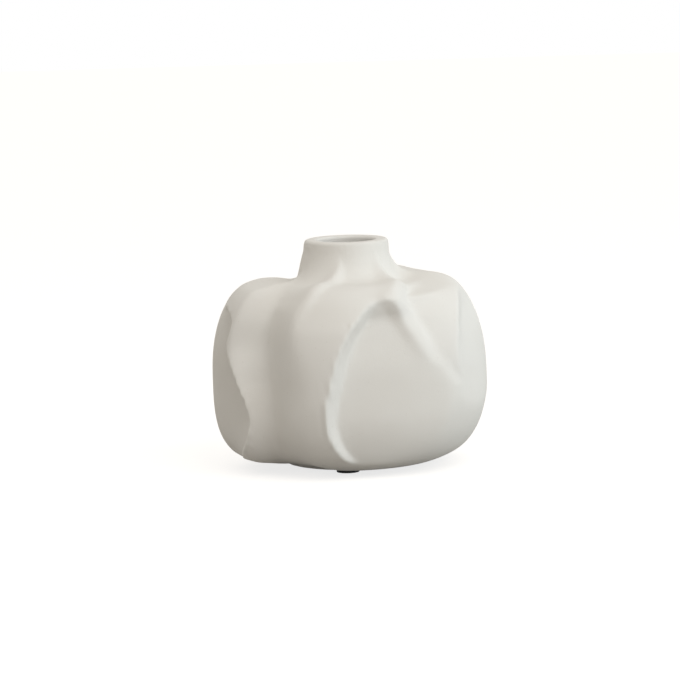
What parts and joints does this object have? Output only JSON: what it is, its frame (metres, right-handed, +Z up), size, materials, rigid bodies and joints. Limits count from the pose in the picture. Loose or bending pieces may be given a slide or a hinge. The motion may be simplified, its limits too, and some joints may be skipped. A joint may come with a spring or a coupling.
{
  "type": "sculptural vase",
  "caption": "Pillow-shaped matte ceramic flower vase with a narrow round neck, deep arch-shaped hollows pressed into its wall, and soft stick-on pads under its flat foot.",
  "frame": {"origin": "on the mouth's axis, in the plane that the pads stand on", "axes": "+Z up along the mouth's axis; the front with the large arch-shaped hollow faces -Y; +X is to the right seen from the front"},
  "size_m": [0.1808, 0.1798, 0.15],
  "materials": {
    "bisque": "matte off-white, unglazed outside",
    "pad": "matte dark grey",
    "adhesive": "clear pale film"
  },
  "bodies": {
    "root": {"vase_body": "bisque", "foot_pad_front": "pad", "foot_pad_right": "pad", "foot_pad_back": "pad", "foot_pad_left": "pad", "pad_adhesive_front": "adhesive", "pad_adhesive_right": "adhesive", "pad_adhesive_back": "adhesive", "pad_adhesive_left": "adhesive"}
  },
  "joints": []
}
